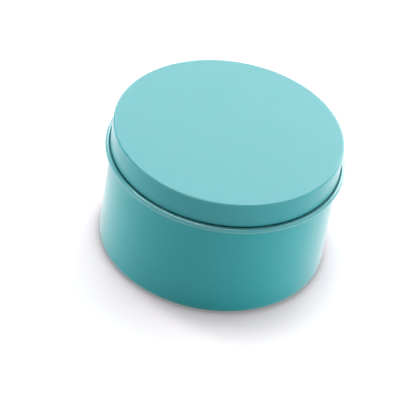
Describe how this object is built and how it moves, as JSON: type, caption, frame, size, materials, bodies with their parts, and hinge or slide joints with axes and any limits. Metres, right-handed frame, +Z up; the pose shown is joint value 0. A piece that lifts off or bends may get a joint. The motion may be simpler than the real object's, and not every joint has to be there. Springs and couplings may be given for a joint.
{
  "type": "round tin",
  "caption": "Round shallow tin of drawn sheet steel with a beaded body and a flat slip-on lid, in turquoise enamel.",
  "frame": {"origin": "middle of the standing ring under the base, on the surface the tin stands on", "axes": "+Z up along the axis of the tin, towards the lid"},
  "size_m": [0.0802, 0.0802, 0.047],
  "materials": {
    "body_enamel": "semi-gloss enamel",
    "lid_enamel": "satin enamel"
  },
  "bodies": {
    "body": {"tin_body": "body_enamel"},
    "lid": {"tin_lid": "lid_enamel"}
  },
  "joints": [
    {"name": "lid_lift", "type": "slide", "parent": "body", "child": "lid", "axis": [0, 0, 1], "range_m": [0, 0.06]}
  ]
}
